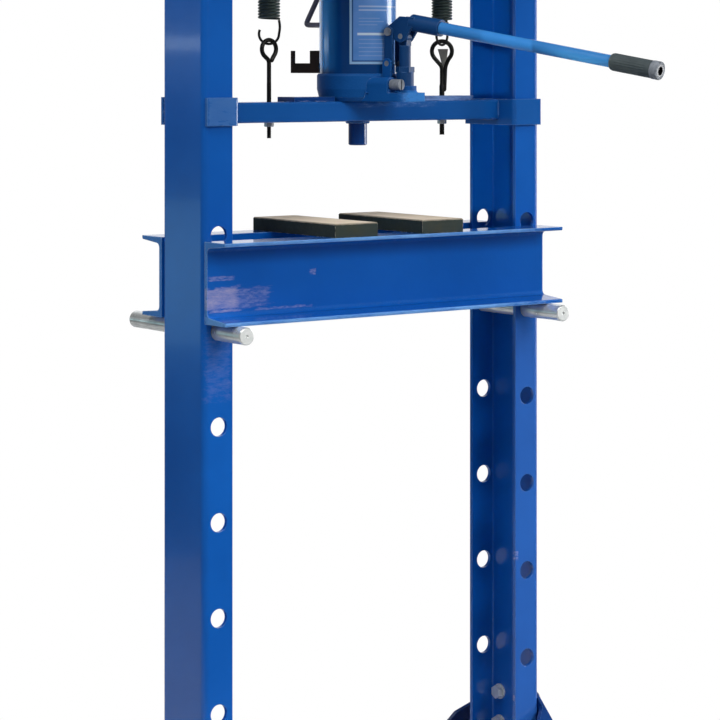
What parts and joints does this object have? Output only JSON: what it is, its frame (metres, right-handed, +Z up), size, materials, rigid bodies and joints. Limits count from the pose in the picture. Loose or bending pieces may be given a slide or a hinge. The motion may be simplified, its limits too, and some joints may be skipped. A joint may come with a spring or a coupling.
{
  "type": "hydraulic press",
  "caption": "H-frame workshop press with a bottle jack on a sprung platform, an adjustable pinned bed, loose press plates and a pumped handle.",
  "frame": {"origin": "centre of the floor bolt pattern, on the floor", "axes": "+Z up along the posts, +X along the bed, -Y towards the front"},
  "size_m": [0.65, 0.7403, 1.539],
  "materials": {
    "frame_blue": "glossy blue enamel",
    "foot_blue": "dark blue enamel",
    "jack_blue": "glossy navy enamel",
    "handle_blue": "bright blue enamel",
    "zinc": "bright zinc plate",
    "ground_steel": "ground and polished steel",
    "plate_steel": "bare heat-darkened steel with a tan face",
    "black_steel": "black oxide",
    "grip": "charcoal rubber sleeve",
    "seal_rubber": "black seal rubber",
    "label": "printed film with plain fields"
  },
  "bodies": {
    "frame": {"left_post": "frame_blue", "right_post": "frame_blue", "head_front_channel": "frame_blue", "head_rear_channel": "frame_blue", "head_thrust_plate": "frame_blue", "head_bolts": "zinc", "head_nuts": "zinc", "left_foot": "foot_blue", "right_foot": "foot_blue", "foot_bolts": "zinc", "foot_washers": "zinc", "foot_nuts": "zinc", "rear_tie": "frame_blue", "tie_bolts": "zinc", "tie_nuts": "zinc", "bed_front_channel": "frame_blue", "bed_rear_channel": "frame_blue", "bed_cross_plates": "frame_blue", "bed_pin_left": "zinc", "bed_pin_right": "zinc", "press_plate_left": "plate_steel", "press_plate_right": "plate_steel", "spring_rods": "zinc", "spring_rod_nuts": "zinc", "upper_spring_hooks": "black_steel", "spring_left": "black_steel", "spring_right": "black_steel"},
    "platform": {"platform_bar": "frame_blue", "guide_strap_left": "frame_blue", "guide_strap_right": "frame_blue", "ram_nose": "frame_blue", "jack_stop_plates": "foot_blue", "eye_bolt_left": "black_steel", "eye_bolt_right": "black_steel", "eye_nuts": "zinc", "lower_spring_hooks": "black_steel", "jack_base": "jack_blue", "reservoir": "jack_blue", "pressure_cylinder": "ground_steel", "jack_top_cap": "jack_blue", "filler_plug": "seal_rubber", "label_panel": "label", "pump_barrel": "jack_blue", "link_plates": "jack_blue", "link_lower_pin": "zinc", "carry_handle": "black_steel", "handle_rest": "black_steel", "valve_balls": "zinc"},
    "ram": {"jack_ram": "ground_steel", "ram_seal": "seal_rubber", "jack_saddle": "zinc"},
    "lever": {"handle_socket": "jack_blue", "fulcrum_pin": "zinc", "handle_bar": "handle_blue", "handle_grip": "grip", "handle_end_ring": "zinc", "plunger_pin": "zinc"},
    "plunger": {"pump_plunger": "ground_steel"},
    "release_valve": {"release_valve": "zinc"}
  },
  "joints": [
    {"name": "platform_travel", "type": "slide", "parent": "frame", "child": "platform", "axis": [0, 0, -1], "range_m": [0, 0.14], "stiffness_N_per_m": 3000, "springref_m": -0.1, "deforming": ["spring_left", "spring_right"]},
    {"name": "ram_extension", "type": "slide", "parent": "platform", "child": "ram", "axis": [0, 0, 1], "range_m": [0, 0.14]},
    {"name": "handle_swing", "type": "hinge", "parent": "platform", "child": "lever", "pos_m": [0.01988, -0.06503, 1.26484], "axis": [-0.9563, -0.2924, 0], "range_deg": [0, 40]},
    {"name": "plunger_travel", "type": "slide", "parent": "platform", "child": "plunger", "axis": [0, 0, 1], "range_m": [0, 0.0137]},
    {"name": "valve_turn", "type": "hinge", "parent": "platform", "child": "release_valve", "pos_m": [-0.00142, -0.09455, 1.187], "axis": [0.2924, -0.9563, 0], "range_deg": [0, 360]}
  ],
  "couplings": [
    {"joint": "ram_extension", "follows": "platform_travel", "ratio": 1},
    {"joint": "plunger_travel", "follows": "handle_swing", "m_per_rad": 0.019596}
  ]
}
